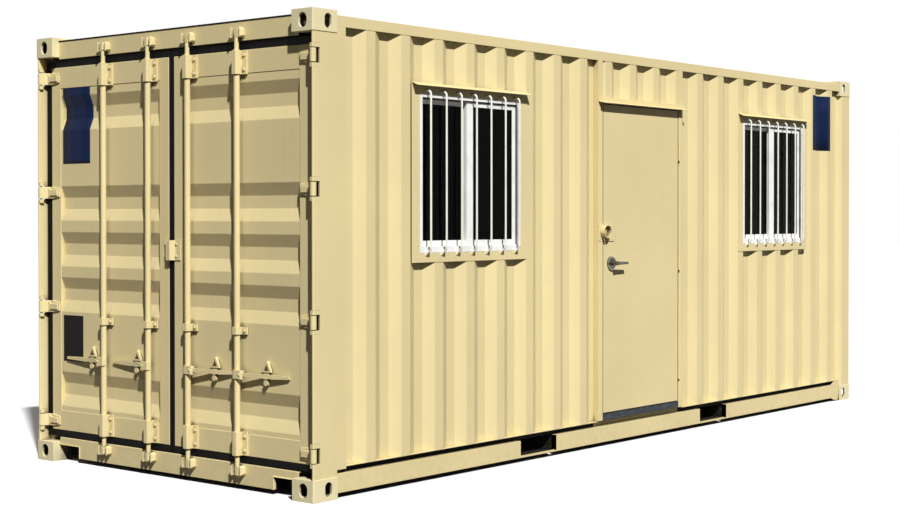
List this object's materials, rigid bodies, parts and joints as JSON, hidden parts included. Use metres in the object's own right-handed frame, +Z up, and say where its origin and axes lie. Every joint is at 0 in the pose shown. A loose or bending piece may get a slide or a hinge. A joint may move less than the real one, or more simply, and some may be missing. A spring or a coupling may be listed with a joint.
{
  "type": "shipping container cabin",
  "caption": "Steel shipping container turned into a cabin, with cargo doors at one end and an entry door between barred sliding windows in one long side.",
  "frame": {"origin": "bottom centre of the container's outer box, in the plane of the bottom corner castings' feet", "axes": "+X along the container from the cargo doors to the blind end, +Y across it from the side with the entry door to the plain side, +Z up"},
  "size_m": [6.058, 2.494, 2.591],
  "materials": {
    "painted_steel": "matte beige marine paint",
    "casting": "rough painted cast steel",
    "underframe_steel": "black bitumen coating",
    "plywood": "oiled container plywood",
    "seal_rubber": "black door seal",
    "white_aluminium": "white powder coat",
    "window_glass": "clear",
    "threshold_metal": "worn dark grey paint",
    "dark_stainless": "dark satin",
    "dark_plate": "matte dark grey"
  },
  "bodies": {
    "cabin": {"bottom_corner_castings": "casting", "top_corner_castings": "casting", "door_end_posts": "painted_steel", "blind_end_posts": "painted_steel", "door_header": "painted_steel", "door_sill": "painted_steel", "blind_end_rails": "painted_steel", "top_side_rails": "painted_steel", "bottom_side_rails": "painted_steel", "rail_end_gussets": "painted_steel", "fork_pockets": "underframe_steel", "cross_members": "underframe_steel", "floor_board": "plywood", "roof_panel": "painted_steel", "blind_end_wall": "painted_steel", "plain_side_wall": "painted_steel", "cabin_wall_left": "painted_steel", "cabin_wall_over_door": "painted_steel", "cabin_wall_right": "painted_steel", "window_surrounds": "painted_steel", "window_frames": "white_aluminium", "window_sashes": "white_aluminium", "window_glass": "window_glass", "entry_posts": "painted_steel", "entry_head": "painted_steel", "drip_cap": "painted_steel", "entry_threshold": "threshold_metal", "entry_hinge_jambs": "painted_steel", "hasp_jamb_half": "painted_steel", "hinge_lugs": "painted_steel", "cam_keepers": "painted_steel"},
    "entry_door": {"entry_slab": "painted_steel", "lever_roses": "dark_stainless", "entry_hinge_leaves": "painted_steel", "hasp_door_half": "painted_steel"},
    "lever": {"lever_set": "dark_stainless"},
    "left_leaf": {"left_leaf_frame": "painted_steel", "left_leaf_panel": "painted_steel", "left_leaf_gasket": "seal_rubber", "left_leaf_hinges": "painted_steel", "left_leaf_fittings": "painted_steel", "blank_plate": "dark_plate"},
    "right_leaf": {"right_leaf_frame": "painted_steel", "right_leaf_panel": "painted_steel", "right_leaf_gasket": "seal_rubber", "right_leaf_hinges": "painted_steel", "right_leaf_fittings": "painted_steel"},
    "left_rod_outer": {"left_lock_rod_outer": "painted_steel"},
    "left_rod_inner": {"left_lock_rod_inner": "painted_steel"},
    "right_rod_inner": {"right_lock_rod_inner": "painted_steel"},
    "right_rod_outer": {"right_lock_rod_outer": "painted_steel"}
  },
  "joints": [
    {"name": "right_leaf_swing", "type": "hinge", "parent": "cabin", "child": "right_leaf", "pos_m": [-3.011, -1.201, 1.3], "axis": [0, 0, 1], "range_deg": [0, 265]},
    {"name": "left_leaf_swing", "type": "hinge", "parent": "cabin", "child": "left_leaf", "pos_m": [-3.011, 1.201, 1.3], "axis": [0, 0, -1], "range_deg": [0, 265]},
    {"name": "right_rod_inner_turn", "type": "hinge", "parent": "right_leaf", "child": "right_rod_inner", "pos_m": [-2.999, -0.176, 1.3], "axis": [0, 0, 1], "range_deg": [-100, 0]},
    {"name": "right_rod_outer_turn", "type": "hinge", "parent": "right_leaf", "child": "right_rod_outer", "pos_m": [-2.999, -0.592, 1.3], "axis": [0, 0, 1], "range_deg": [-100, 0]},
    {"name": "left_rod_inner_turn", "type": "hinge", "parent": "left_leaf", "child": "left_rod_inner", "pos_m": [-2.999, 0.176, 1.3], "axis": [0, 0, -1], "range_deg": [-100, 0]},
    {"name": "left_rod_outer_turn", "type": "hinge", "parent": "left_leaf", "child": "left_rod_outer", "pos_m": [-2.999, 0.592, 1.3], "axis": [0, 0, -1], "range_deg": [-100, 0]},
    {"name": "entry_door_swing", "type": "hinge", "parent": "cabin", "child": "entry_door", "pos_m": [0.46, -1.222, 1.2], "axis": [0, 0, 1], "range_deg": [0, 170]},
    {"name": "lever_turn", "type": "hinge", "parent": "entry_door", "child": "lever", "pos_m": [-0.345, -1.213, 1.193], "axis": [0, 1, 0], "range_deg": [0, 45], "stiffness_Nm_per_rad": 1.6, "springref_deg": -20.05}
  ]
}
